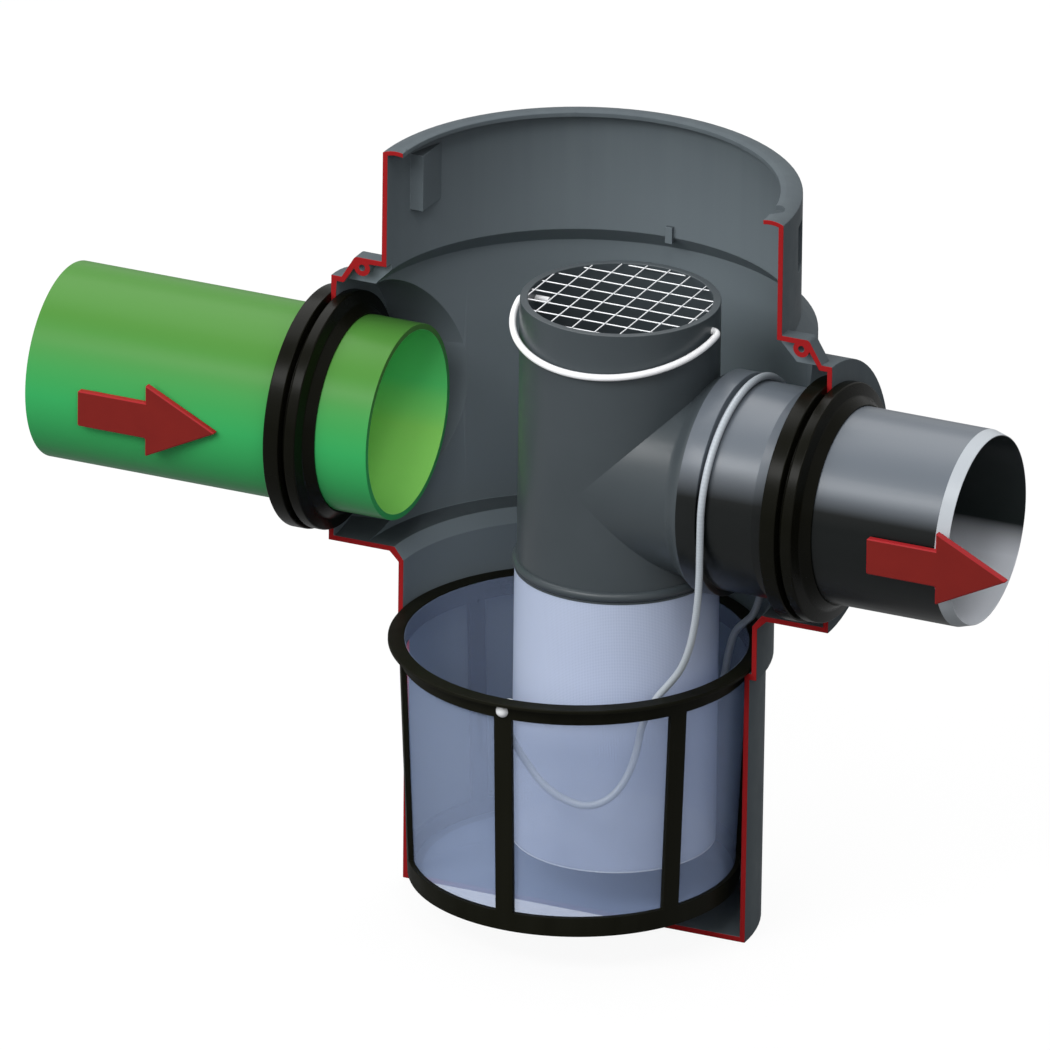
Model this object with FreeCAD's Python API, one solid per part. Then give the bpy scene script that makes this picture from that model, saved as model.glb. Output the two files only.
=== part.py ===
import FreeCAD
import Part
import math
import os

# Rainwater pre-filter: a moulded shaft cut open at the pipe plane, with a tee, a mesh sleeve and
# a leaf basket. Millimetres, +Z up. X runs along the pipes from inlet to outlet. The origin is on
# the shaft's axis, at the underside of its base. The shaft is cut at Y = 0 and its rear half,
# Y above 0, is kept.

V = FreeCAD.Vector

# Driving dimensions of the pipes
pipe_radius = 100.0
pipe_axis_z = 496.3
inlet_pipe_wall = 6.4
inlet_pipe_length = 376.9
inlet_insertion = 86.3
outlet_pipe_wall = 4.9
outlet_protrusion = 170.9
spigot_chamfer_length = 13.2
spigot_edge = 1.1

# Driving dimensions of the shaft
wall = 5.6
drum_radius = 237.0
riser_step = 17.3
neck_step = 39.5
ledge_width = 7.5
rim_z = 781.8
shoulder_top_z = 654.0
shoulder_height = 18.0
collar_radius = 143.6
collar_protrusion = 38.0
hole_clearance = 12.0
neck_chamfer = 10.0
sump_draft = 1.1
ledge_z = 293.4
ledge_thickness = 6.8

# Driving dimensions of the shaft's small features
lip_width = 22.4
lip_thickness = 4.8
lip_rise = 2.4
lip_crown = 3.2
notch_radius = 12.0
notch_angle = 8.5
boss_above_shoulder = 10.0
boss_reach = 249.0
boss_rounding = 5.0
boss_foot_run = 14.6
boss_half_width = 12.0
eyelet_inset = 8.0
eyelet_drop = 10.6
eyelet_radius = 8.7
eyelet_hole = 3.5
pocket_depth = 19.0
pocket_side_y = 44.7
pocket_recess_y = 76.0
pocket_height = 60.0
pocket_below_rim = 16.0
tab_width = 8.0
tab_height = 18.0
tab_proud = 4.0

# Driving dimensions of the basket
flange_thickness = 3.8
flange_bevel = 0.8
flange_side_gap = 2.6
ring_side_gap = 6.9
ring_height = 20.6
frame_thickness = 5.5
frame_draft = 10.5
basket_base_z = 42.5
bottom_ring_height = 20.7
strut_width = 19.2
strut_count = 6
floor_ledge = 10.0
mesh_thickness = 0.8
mesh_below_rim = 1.0

# Driving dimensions of the tee
tee_x = 43.2
tee_radius = 100.6
tee_wall = 8.0
tee_above_boss = 8.3
tee_bottom_z = 386.0
bead_radius = 5.0
branch_reach = 94.8
flare_length = 19.0
groove_bead_length = 21.0
groove_bead_rise = 6.5
groove_bead_slope = 1.0
socket_wall = 6.85
socket_chamfer_length = 14.0
socket_chamfer_rise = 4.5
socket_stop_length = 7.0
socket_to_seal = 2.4
ring_lead_in = 3.0
ring_foot_width = 4.0

# Driving dimensions of the seals
seal_flange_rise = 12.0
seal_flange_width = 16.5
seal_flange_bevel = 2.0
seal_band_rise = 10.0
seal_band_width = 11.5
seal_bevel = 1.0
seal_lip_width = 13.0
seal_lip_root_width = 3.5
seal_lip_root_height = 9.0
seal_lip_thickness = 1.6
seal_lead_in = 6.0
seal_lead_in_width = 11.25

# Driving dimensions of the sleeve, the grid and the bail
sleeve_proud = 2.2
sleeve_wall = 1.2
sleeve_bottom_z = 92.8
sleeve_floor_thickness = 1.5
collar_ring_wall = 4.0
collar_ring_plug = 16.0
collar_ring_flange = 2.4
collar_ring_bevel = 2.0
grid_wire = 1.2
grid_pitch = 25.0
grid_count = 8
grid_below_rim = 0.5
bail_wire = 7.0
bail_side_gap = 3.9
bail_bend = 6.5
bail_stub_inside = 14.5
bail_below_rim = 16.7

# Driving dimensions of the cord, its anchors and the flow arrows
cord_diameter = 7.5
cord_rounding = 0.45
cord_saddle_gap = 0.55
anchor_head_radius = 7.0
anchor_head_sink = 1.0
anchor_shank_radius = 4.0
anchor_below_ledge = 8.4
anchor_socket_radius = 5.5
anchor_socket_height = 18.0
anchor_socket_inset = 14.5
arrow_length = 152.0
arrow_shaft_length = 75.0
arrow_shaft_height = 38.0
arrow_head_height = 77.0
arrow_thickness = 8.0
arrow_drop = 3.0
inlet_arrow_inset = 62.0
outlet_arrow_tip_reach = 69.1

# Clearances, the overlap of forms that are joined, and the reach of a cut past the face it opens
fit_gap = 0.15
mesh_gap = 0.2
rest_gap = 0.3
stop_gap = 2.0
running_gap = 0.06
join_overlap = 0.5
overcut = 2.0
big = 2000.0

# Shaft, worked out from the driving dimensions
riser_radius = drum_radius - riser_step
neck_radius = drum_radius - neck_step
sump_radius = neck_radius - ledge_width
drum_inner = drum_radius - wall
riser_inner = riser_radius - wall
neck_inner = neck_radius - wall
sump_inner = sump_radius - wall
collar_reach = drum_radius + collar_protrusion
collar_top_z = pipe_axis_z + collar_radius
floor_z = pipe_axis_z - collar_radius
hole_radius = pipe_radius + hole_clearance
boss_half_outer = boss_half_width + wall
boss_top_z = shoulder_top_z + boss_above_shoulder

# Pipes, worked out
pipe_socket_bore = pipe_radius + fit_gap
inlet_pipe_end = inlet_insertion - collar_reach
inlet_pipe_start = inlet_pipe_end - inlet_pipe_length
outlet_pipe_end = collar_reach + outlet_protrusion

# Basket, worked out
ring_top_z = ledge_z + flange_thickness
ring_bottom_z = ring_top_z - ring_height
flange_radius = neck_inner - flange_side_gap
ring_radius = sump_inner - ring_side_gap
frame_taper = frame_draft / (ring_bottom_z - basket_base_z)

# Tee, worked out
tee_inner = tee_radius - tee_wall
tee_top_z = boss_top_z + tee_above_boss
branch_neck_end = tee_x + branch_reach
flare_end = branch_neck_end + flare_length
socket_stop = flare_end - socket_stop_length
groove_bead_end = flare_end + groove_bead_length
socket_end = collar_reach - wall - seal_flange_width - socket_to_seal
socket_radius = pipe_socket_bore + socket_wall
groove_bead_radius = socket_radius + groove_bead_rise
groove_top = groove_bead_radius - socket_wall

# Sleeve, bail, cord and anchors, worked out
sleeve_radius = tee_radius + sleeve_proud
bail_axis_z = tee_top_z - bail_below_rim
bail_radius = tee_radius + bail_wire / 2 + bail_side_gap
cord_radius = cord_diameter / 2
section_area = math.pi * cord_radius ** 2
anchor_z = ledge_z - anchor_below_ledge
anchor_head_centre = ring_radius - anchor_head_sink
anchor_socket_offset = ring_radius - anchor_socket_inset
socket_foot_z = anchor_z + anchor_socket_radius - anchor_socket_height


def revolve_about_z(outline, centre_x=0.0):
    """Turns an outline of (radius, z) points right round a vertical axis."""
    points = [V(centre_x + radius, 0, z) for radius, z in outline]
    face = Part.Face(Part.makePolygon(points + points[:1]))
    return face.revolve(V(centre_x, 0, 0), V(0, 0, 1), 360)


def revolve_about_pipe(outline):
    """Turns an outline of (x, radius) points right round the pipes' axis."""
    points = [V(x, 0, pipe_axis_z + radius) for x, radius in outline]
    face = Part.Face(Part.makePolygon(points + points[:1]))
    return face.revolve(V(0, 0, pipe_axis_z), V(1, 0, 0), 360)


def pipe_cylinder(radius, start_x, end_x):
    """Solid cylinder on the pipes' axis."""
    return Part.makeCylinder(radius, end_x - start_x, V(start_x, 0, pipe_axis_z), V(1, 0, 0))


def block(x0, x1, y0, y1, z0, z1):
    """Upright box between two corners."""
    return Part.makeBox(x1 - x0, y1 - y0, z1 - z0, V(x0, y0, z0))


def prism_xz(outline, y0, y1):
    """Outline of (x, z) points, extruded from y0 to y1."""
    points = [V(x, y0, z) for x, z in outline]
    return Part.Face(Part.makePolygon(points + points[:1])).extrude(V(0, y1 - y0, 0))


def mirror_x(shape):
    """Mirror image of a shape on the other side of the plane X = 0."""
    return shape.mirror(V(0, 0, 0), V(1, 0, 0))


def frame_outer(z):
    """Outer radius of the tapering basket frame at height z."""
    return ring_radius - frame_taper * (ring_bottom_z - z)


def frame_inner(z):
    """Inner radius of the tapering basket frame at height z."""
    return frame_outer(z) - frame_thickness


def shaft_outside():
    """Outer form of the shaft: sump, ledge, neck, drum, shoulder and riser, with collars and bosses."""
    ledge_bottom = ledge_z - ledge_thickness
    outline = [
        (0, 0),
        (sump_radius - sump_draft, 0),
        (sump_radius, ledge_bottom),
        (neck_radius, ledge_bottom),
        (neck_radius, floor_z - neck_chamfer),
        (neck_radius + neck_chamfer, floor_z),
        (drum_radius, floor_z),
        (drum_radius, shoulder_top_z - shoulder_height),
        (riser_radius, shoulder_top_z),
        (riser_radius, rim_z),
        (0, rim_z),
    ]
    body = revolve_about_z(outline)
    collars = pipe_cylinder(collar_radius, -collar_reach, collar_reach)
    boss = prism_xz(
        [
            (neck_radius, collar_top_z - wall),
            (neck_radius, boss_top_z),
            (boss_reach, boss_top_z),
            (boss_reach + boss_foot_run, collar_top_z),
            (boss_reach + boss_foot_run, collar_top_z - wall),
        ],
        -boss_half_outer,
        boss_half_outer,
    )
    end_corner = V(boss_reach, 0, boss_top_z)
    end_edges = [edge for edge in boss.Edges if (edge.CenterOfMass - end_corner).Length < fit_gap]
    boss = boss.makeFillet(boss_rounding, end_edges)
    return body.fuse([collars, boss, mirror_x(boss)])


def shaft_inside():
    """Hollow form inside the shaft, one wall in from its outside."""
    tilt = math.sqrt(wall ** 2 + wall ** 2) - wall
    shoulder_turn = math.atan2(drum_radius - riser_radius, shoulder_height)
    shoulder_shift = wall * math.tan(shoulder_turn / 2)
    outline = [
        (0, wall),
        (sump_inner - sump_draft, wall),
        (sump_inner, ledge_z),
        (neck_inner, ledge_z),
        (neck_inner, floor_z - neck_chamfer + tilt),
        (neck_inner + neck_chamfer, floor_z + wall),
        (drum_inner, floor_z + wall),
        (drum_inner, shoulder_top_z - shoulder_height - shoulder_shift),
        (riser_inner, shoulder_top_z - shoulder_shift),
        (riser_inner, rim_z + big),
        (0, rim_z + big),
    ]
    body = revolve_about_z(outline)
    collars = pipe_cylinder(collar_radius - wall, wall - collar_reach, collar_reach - wall)
    slope = boss_foot_run / (boss_top_z - collar_top_z)
    slope_shift = wall * math.sqrt(1 + slope ** 2)
    plate_z = boss_top_z - wall
    low_z = collar_top_z - wall - overcut
    boss = prism_xz(
        [
            (neck_inner, low_z),
            (neck_inner, plate_z),
            (boss_reach + slope * wall - slope_shift, plate_z),
            (boss_reach + slope * (boss_top_z - low_z) - slope_shift, low_z),
        ],
        -boss_half_width,
        boss_half_width,
    )
    return body.fuse([collars, boss, mirror_x(boss)])


def rim_lip():
    """Domed inward lip on top of the riser, with a round notch in its inner edge."""
    inner = riser_radius - lip_width
    drop = V(0, 0, -lip_thickness)
    outer_corner = V(riser_radius, 0, rim_z)
    crown = V((riser_radius + inner) / 2, 0, rim_z + lip_crown)
    inner_corner = V(inner, 0, rim_z + lip_rise)
    section = Part.Wire(
        [
            Part.Arc(outer_corner, crown, inner_corner).toShape(),
            Part.LineSegment(inner_corner, inner_corner + drop).toShape(),
            Part.Arc(inner_corner + drop, crown + drop, outer_corner + drop).toShape(),
            Part.LineSegment(outer_corner + drop, outer_corner).toShape(),
        ]
    )
    lip = Part.Face(section).revolve(V(0, 0, 0), V(0, 0, 1), 360)
    angle = math.radians(notch_angle)
    foot = V(inner * math.cos(angle), inner * math.sin(angle), rim_z - 2 * lip_thickness)
    return lip.cut(Part.makeCylinder(notch_radius, 4 * lip_thickness, foot))


def latch_pocket():
    """Block on the riser's inner wall and the recess that opens into it from outside."""
    top = rim_z - pocket_below_rim
    face_x = riser_inner - pocket_depth
    inside = Part.makeCylinder(riser_radius - wall / 2, big)
    solid = block(face_x, riser_radius, pocket_side_y, riser_radius, top - pocket_height, top).common(inside)
    recess = block(
        face_x + wall,
        riser_radius + wall,
        pocket_side_y + wall,
        pocket_recess_y,
        top - pocket_height + wall,
        top - wall,
    )
    return solid, recess


def eyelet():
    """Tube under the boss plate, and the hole through it and the boss's end wall."""
    centre = V(boss_reach - eyelet_inset, 0, boss_top_z - eyelet_drop)
    tube = Part.makeCylinder(eyelet_radius, boss_half_width + join_overlap, centre, V(0, 1, 0))
    hole = Part.makeCylinder(eyelet_hole, boss_half_outer + overcut, centre, V(0, 1, 0))
    return tube, hole


def housing():
    """Rear half of the shaft, as one moulding."""
    shell = shaft_outside().cut(shaft_inside())
    shell = shell.fuse(rim_lip())
    pocket, recess = latch_pocket()
    tube, hole = eyelet()
    tab = block(
        -tab_width / 2,
        tab_width / 2,
        riser_inner - tab_proud,
        riser_radius,
        boss_top_z - tab_height,
        boss_top_z,
    )
    shell = shell.fuse([pocket, mirror_x(pocket), tube, mirror_x(tube), tab])
    pipe_hole = pipe_cylinder(hole_radius, -collar_reach - wall, collar_reach + wall)
    shell = shell.cut([recess, mirror_x(recess), hole, mirror_x(hole), pipe_hole])
    rear_half = block(-big, big, 0, big, -big, big)
    return shell.common(rear_half)


def inlet_pipe():
    """Plain pipe end, pushed through the left seal."""
    outside = pipe_cylinder(pipe_radius, inlet_pipe_start, inlet_pipe_end)
    bore = pipe_cylinder(pipe_radius - inlet_pipe_wall, inlet_pipe_start, inlet_pipe_end)
    return outside.cut(bore)


def outlet_pipe():
    """Pipe that starts in the tee's socket and ends in a chamfered spigot."""
    start = socket_stop + stop_gap
    bore = pipe_radius - outlet_pipe_wall
    outline = [
        (start, bore),
        (outlet_pipe_end, bore),
        (outlet_pipe_end, bore + spigot_edge),
        (outlet_pipe_end - spigot_chamfer_length, pipe_radius),
        (start, pipe_radius),
    ]
    return revolve_about_pipe(outline)


def lip_seal(wall_start):
    """Rubber ring that clips into a collar wall starting at wall_start, its lip towards +X."""
    groove = hole_radius - fit_gap
    flange_radius_out = hole_radius + seal_flange_rise
    band_radius = hole_radius + seal_band_rise
    flange_start = wall_start - seal_flange_width
    wall_end = wall_start + wall
    band_end = wall_end + seal_band_width
    lip_end = band_end + seal_lip_width
    outline = [
        (flange_start, pipe_socket_bore + seal_lead_in),
        (flange_start, flange_radius_out - seal_flange_bevel),
        (flange_start + seal_flange_bevel, flange_radius_out),
        (wall_start - seal_bevel, flange_radius_out),
        (wall_start, flange_radius_out - seal_bevel),
        (wall_start, groove),
        (wall_end, groove),
        (wall_end, band_radius - seal_bevel),
        (wall_end + seal_bevel, band_radius),
        (band_end - seal_bevel, band_radius),
        (band_end, band_radius - seal_bevel),
        (band_end + seal_lip_root_width, pipe_radius + seal_lip_root_height),
        (lip_end, pipe_socket_bore + seal_lip_thickness),
        (lip_end, pipe_socket_bore),
        (flange_start + seal_lead_in_width, pipe_socket_bore),
    ]
    return revolve_about_pipe(outline)


def tee_body():
    """Standpipe with a side branch, its socket, the bead at its foot and two bail holes."""
    tube = Part.makeCylinder(tee_radius, tee_top_z - tee_bottom_z, V(tee_x, 0, tee_bottom_z))
    bead = Part.makeTorus(tee_radius, bead_radius, V(tee_x, 0, tee_bottom_z + bead_radius))
    branch = revolve_about_pipe(
        [
            (tee_x, 0),
            (tee_x, tee_radius),
            (branch_neck_end, tee_radius),
            (flare_end, groove_bead_radius),
            (groove_bead_end, groove_bead_radius),
            (groove_bead_end + groove_bead_slope, socket_radius),
            (socket_end - socket_chamfer_length, socket_radius),
            (socket_end, socket_radius - socket_chamfer_rise),
            (socket_end, 0),
        ]
    )
    bore = Part.makeCylinder(tee_inner, tee_top_z - tee_bottom_z, V(tee_x, 0, tee_bottom_z))
    branch_bore = revolve_about_pipe(
        [
            (tee_x, 0),
            (tee_x, tee_inner),
            (socket_stop, tee_inner),
            (socket_stop, pipe_socket_bore),
            (flare_end, pipe_socket_bore),
            (flare_end, groove_top),
            (groove_bead_end, groove_top),
            (groove_bead_end, pipe_socket_bore),
            (socket_end, pipe_socket_bore),
            (socket_end, 0),
        ]
    )
    reach = tee_radius + overcut
    pivot_radius = bail_wire / 2 + running_gap
    pivot = Part.makeCylinder(pivot_radius, 2 * reach, V(tee_x - reach, 0, bail_axis_z), V(1, 0, 0))
    return tube.fuse([bead, branch]).cut([bore, branch_bore, pivot])


def tee_socket_seal():
    """Rubber lip ring in the groove of the tee's socket."""
    top = groove_top - fit_gap
    lead_in = pipe_socket_bore + ring_lead_in
    start = flare_end + fit_gap
    end = groove_bead_end - fit_gap
    middle = (start + end) / 2
    outline = [
        (start, lead_in),
        (start, top),
        (end, top),
        (end, lead_in),
        (middle + ring_foot_width / 2, pipe_socket_bore),
        (middle - ring_foot_width / 2, pipe_socket_bore),
    ]
    return revolve_about_pipe(outline)


def overflow_grid():
    """Welded grid in the standpipe's mouth: one layer of wires along X, one along Y on top of it."""
    radius = tee_inner - fit_gap
    mouth = Part.makeCylinder(radius, tee_top_z, V(tee_x, 0, 0))
    upper_z = tee_top_z - grid_below_rim - grid_wire / 2
    lower_z = upper_z - grid_wire
    wires = []
    for index in range(grid_count):
        offset = (index - (grid_count - 1) / 2) * grid_pitch
        left_end = V(tee_x - radius, offset, lower_z)
        front_end = V(tee_x + offset, -radius, upper_z)
        along_x = Part.makeCylinder(grid_wire / 2, 2 * radius, left_end, V(1, 0, 0))
        along_y = Part.makeCylinder(grid_wire / 2, 2 * radius, front_end, V(0, 1, 0))
        wires.append(along_x.common(mouth))
        wires.append(along_y.common(mouth))
    return Part.makeCompound(wires)


def bail_rest_tilt():
    """Angle below the horizontal at which the bail rests on the front of the standpipe, in radians."""
    return math.acos((tee_radius + bail_wire / 2 + rest_gap) / bail_radius)


def tee_bail():
    """Round wire handle: two stubs through the standpipe's wall and a half ring between them."""
    tilt = bail_rest_tilt()
    forward = V(0, -math.cos(tilt), -math.sin(tilt))
    centre = V(tee_x, 0, bail_axis_z)

    def at(across, out):
        return centre + V(across, 0, 0) + forward * out

    bend_x = math.sqrt((bail_radius - bail_bend) ** 2 - bail_bend ** 2)
    share = bail_radius / (bail_radius - bail_bend)
    middle = math.radians(45) + math.atan2(bail_bend, bend_x) / 2
    half_way = (bend_x + bail_bend * math.sin(middle), bail_bend - bail_bend * math.cos(middle))
    stub_end = tee_inner - bail_stub_inside
    edges = [
        Part.LineSegment(at(-stub_end, 0), at(-bend_x, 0)).toShape(),
        Part.Arc(
            at(-bend_x, 0),
            at(-half_way[0], half_way[1]),
            at(-bend_x * share, bail_bend * share),
        ).toShape(),
        Part.Arc(
            at(-bend_x * share, bail_bend * share),
            at(0, bail_radius),
            at(bend_x * share, bail_bend * share),
        ).toShape(),
        Part.Arc(
            at(bend_x * share, bail_bend * share),
            at(half_way[0], half_way[1]),
            at(bend_x, 0),
        ).toShape(),
        Part.LineSegment(at(bend_x, 0), at(stub_end, 0)).toShape(),
    ]
    section = Part.Wire(Part.makeCircle(bail_wire / 2, at(-stub_end, 0), V(1, 0, 0)))
    return Part.Wire(edges).makePipeShell([section], True, False)


def filter_sleeve():
    """Fine mesh tube below the standpipe."""
    bottom = sleeve_bottom_z + sleeve_floor_thickness
    height = tee_bottom_z - collar_ring_flange - bottom
    outside = Part.makeCylinder(sleeve_radius, height, V(tee_x, 0, bottom))
    return outside.cut(Part.makeCylinder(sleeve_radius - sleeve_wall, height, V(tee_x, 0, bottom)))


def sleeve_floor():
    """Closed bottom of the mesh tube."""
    return Part.makeCylinder(sleeve_radius, sleeve_floor_thickness, V(tee_x, 0, sleeve_bottom_z))


def sleeve_collar():
    """Ring on top of the sleeve that plugs into the foot of the standpipe."""
    outer = tee_inner - fit_gap
    inner = outer - collar_ring_wall
    flange_z = tee_bottom_z - collar_ring_flange
    plug_z = tee_bottom_z + collar_ring_plug
    outline = [
        (inner, flange_z),
        (sleeve_radius, flange_z),
        (sleeve_radius, tee_bottom_z),
        (outer, tee_bottom_z),
        (outer, plug_z - collar_ring_bevel),
        (outer - collar_ring_bevel, plug_z),
        (inner, plug_z),
    ]
    return revolve_about_z(outline, tee_x)


def shank_holes():
    """Cylinders through the basket's ring, front and rear, for the anchors' shanks."""
    depth = ring_radius + wall
    centre = V(0, -depth, anchor_z)
    return Part.makeCylinder(anchor_shank_radius + fit_gap, 2 * depth, centre, V(0, 1, 0))


def basket_frame():
    """Flanged ring, tapering struts and bottom ring with a small ledge, as one moulding."""
    shell = revolve_about_z(
        [
            (frame_inner(basket_base_z), basket_base_z),
            (frame_outer(basket_base_z), basket_base_z),
            (frame_outer(ring_top_z), ring_top_z),
            (frame_inner(ring_top_z), ring_top_z),
        ]
    )
    flange = revolve_about_z(
        [
            (frame_inner(ledge_z), ledge_z),
            (flange_radius, ledge_z),
            (flange_radius, ring_top_z - flange_bevel),
            (flange_radius - flange_bevel, ring_top_z),
            (frame_inner(ring_top_z), ring_top_z),
        ]
    )
    ledge_top = basket_base_z + flange_thickness
    ledge = revolve_about_z(
        [
            (frame_inner(basket_base_z) - floor_ledge, basket_base_z),
            (frame_outer(basket_base_z), basket_base_z),
            (frame_outer(ledge_top), ledge_top),
            (frame_inner(basket_base_z) - floor_ledge, ledge_top),
        ]
    )
    window_z = basket_base_z + bottom_ring_height
    gaps = Part.makeCylinder(flange_radius, ring_bottom_z - window_z, V(0, 0, window_z))
    reach = flange_radius + overcut
    half_strut = strut_width / 2
    for index in range(strut_count):
        strut = block(0, reach, -half_strut, half_strut, window_z - overcut, ring_bottom_z + overcut)
        strut.rotate(V(0, 0, 0), V(0, 0, 1), 360 / strut_count * (index + 0.5))
        gaps = gaps.cut(strut)
    return shell.cut(gaps).fuse([flange, ledge]).cut(shank_holes())


def basket_mesh():
    """Tapering mesh wall inside the frame, standing on its ledge."""
    bottom = basket_base_z + flange_thickness + mesh_thickness
    top = ring_top_z - mesh_below_rim
    shell = revolve_about_z(
        [
            (frame_inner(bottom) - mesh_gap - mesh_thickness, bottom),
            (frame_inner(bottom) - mesh_gap, bottom),
            (frame_inner(top) - mesh_gap, top),
            (frame_inner(top) - mesh_gap - mesh_thickness, top),
        ]
    )
    return shell.cut(shank_holes())


def basket_floor():
    """Mesh disc on the frame's ledge."""
    height = basket_base_z + flange_thickness
    return Part.makeCylinder(frame_inner(height) - mesh_gap, mesh_thickness, V(0, 0, height))


def cord_anchor(side):
    """Button head outside the ring, shank through it, and an upright socket that holds the cord inside."""
    head = Part.makeSphere(anchor_head_radius, V(0, anchor_head_centre, anchor_z))
    skirt = Part.makeCylinder(frame_outer(ring_top_z) + fit_gap, big, V(0, 0, 0))
    head = head.cut(skirt)
    shank_length = frame_outer(anchor_z) + overcut - anchor_socket_offset
    shank_start = V(0, anchor_socket_offset, anchor_z)
    shank = Part.makeCylinder(anchor_shank_radius, shank_length, shank_start, V(0, 1, 0))
    socket_foot = V(0, anchor_socket_offset, socket_foot_z)
    socket = Part.makeCylinder(anchor_socket_radius, anchor_socket_height, socket_foot)
    piece = head.fuse([shank, socket])
    if side < 0:
        piece = piece.mirror(V(0, 0, 0), V(0, 1, 0))
    return piece


def flow_arrow(tip_x):
    """Flat red arrow on the front of a pipe, pointing downstream."""
    tail = tip_x - arrow_length
    head_base = tail + arrow_shaft_length
    middle = pipe_axis_z - arrow_drop
    half_shaft = arrow_shaft_height / 2
    half_head = arrow_head_height / 2
    outline = [
        (tail, middle - half_shaft),
        (head_base, middle - half_shaft),
        (head_base, middle - half_head),
        (tip_x, middle),
        (head_base, middle + half_head),
        (head_base, middle + half_shaft),
        (tail, middle + half_shaft),
    ]
    back_y = -pipe_radius - rest_gap
    return prism_xz(outline, back_y - arrow_thickness, back_y)


# X of the cord at each corner of its way over the branch, from the front to the rear
saddle_x = [183.5, 184.0, 185.5, 187.5, 188.0, 187.0, 185.5, 183.5]
saddle_turn = 30.0


def saddle_points():
    """Corners of the cord's route over the branch, evenly spaced round it."""
    half_turn = math.radians(saddle_turn / 2)
    corner_radius = (socket_radius + cord_radius + cord_saddle_gap) / math.cos(half_turn)
    corners = []
    for index, x in enumerate(saddle_x):
        angle = math.radians(saddle_turn * index) - half_turn
        corners.append((x, -corner_radius * math.cos(angle), pipe_axis_z + corner_radius * math.sin(angle)))
    return corners


# Route of the pull cord, chosen by hand: front anchor to branch, and branch to rear anchor
front_run = [
    (0.0, -anchor_socket_offset, socket_foot_z),
    (0.0, -anchor_socket_offset, 258.5),
    (4.5, -155.0, 240.0),
    (15.0, -151.0, 222.0),
    (32.0, -149.0, 200.0),
    (54.0, -144.5, 185.5),
    (77.0, -138.0, 179.5),
    (97.0, -128.0, 188.0),
    (109.0, -114.0, 208.0),
    (115.5, -105.0, 236.0),
    (117.0, -99.0, 262.0),
    (129.0, -94.0, 290.0),
    (146.0, -95.0, 311.0),
    (160.0, -98.5, 331.0),
    (171.0, -103.0, 358.0),
    (178.0, -106.0, 391.0),
    (182.5, -109.5, 428.0),
]
rear_run = [
    (180.0, 105.0, 412.0),
    (165.0, 91.0, 366.0),
    (159.0, 84.0, 322.0),
    (141.0, 92.0, 304.0),
    (128.0, 101.0, 290.0),
    (119.0, 108.0, 266.0),
    (113.0, 112.0, 238.0),
    (106.0, 119.0, 212.0),
    (90.0, 131.0, 192.0),
    (66.0, 141.0, 182.0),
    (40.0, 148.0, 187.0),
    (20.0, 153.0, 212.0),
    (7.0, 158.0, 240.0),
    (0.0, anchor_socket_offset, 259.0),
    (0.0, anchor_socket_offset, socket_foot_z),
]


def tangent_arc(before, corner, after):
    """Start, middle and end of the arc that rounds a corner, with its radius."""
    back = (before - corner).normalize()
    ahead = (after - corner).normalize()
    turn = math.pi - back.getAngle(ahead)
    shorter = min((before - corner).Length, (after - corner).Length)
    cut = cord_rounding * shorter
    radius = cut / math.tan(turn / 2)
    bisector = (back + ahead).normalize()
    centre_distance = math.hypot(radius, cut)
    middle = corner + bisector * (centre_distance - radius)
    return corner + back * cut, middle, corner + ahead * cut, radius


def pull_cord():
    """Round cord along its route: straight runs joined by tangent arcs."""
    points = [V(*point) for point in front_run + saddle_points() + rear_run]
    edges = []
    radii = []
    last = points[0]
    for before, corner, after in zip(points, points[1:], points[2:]):
        start, middle, end, radius = tangent_arc(before, corner, after)
        edges.append(Part.LineSegment(last, start).toShape())
        edges.append(Part.Arc(start, middle, end).toShape())
        radii.append(round(radius, 1))
        last = end
    edges.append(Part.LineSegment(last, points[-1]).toShape())
    path = Part.Wire(edges)
    section = Part.Wire(Part.makeCircle(cord_radius, points[0], points[1] - points[0]))
    tube = path.makePipeShell([section], True, False)
    print("cord radii", radii)
    share = tube.Volume / (section_area * path.Length)
    print("cord length", round(path.Length, 1), "volume share", round(share, 5))
    return tube


nodes = {
    "housing": housing(),
    "inlet_pipe": inlet_pipe(),
    "outlet_pipe": outlet_pipe(),
    "inlet_seal": lip_seal(-collar_reach),
    "outlet_seal": lip_seal(collar_reach - wall),
    "tee_body": tee_body(),
    "tee_socket_seal": tee_socket_seal(),
    "overflow_grid": overflow_grid(),
    "tee_bail": tee_bail(),
    "filter_sleeve": filter_sleeve(),
    "sleeve_floor": sleeve_floor(),
    "sleeve_collar": sleeve_collar(),
    "basket_frame": basket_frame(),
    "basket_mesh": basket_mesh(),
    "basket_floor": basket_floor(),
    "cord_anchor_front": cord_anchor(-1),
    "cord_anchor_rear": cord_anchor(1),
    "pull_cord": pull_cord(),
    "inlet_arrow": flow_arrow(inlet_pipe_start + inlet_arrow_inset + arrow_length),
    "outlet_arrow": flow_arrow(outlet_pipe_end + outlet_arrow_tip_reach),
}

os.makedirs("parts", exist_ok=True)
for name, shape in nodes.items():
    shape.exportStep("parts/" + name + ".step")
    print(name, "solids", len(shape.Solids), "valid", shape.isValid(), "volume", round(shape.Volume))
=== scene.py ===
"""Dresses the cut-open rainwater pre-filter.

It adds the finishes, the rounded edges, the pull cord, the studio and the camera. Metres, in the
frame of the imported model: +Z up, +X along the pipes from inlet to outlet, +Y towards the kept rear
half of the shaft. The shaft is cut at Y = 0.
"""
import logging
import math
from abc import ABC, abstractmethod
from dataclasses import dataclass, field
from enum import Enum
from typing import Iterable, Optional, Sequence

import bmesh
import bpy
from mathutils import Matrix, Vector


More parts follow.
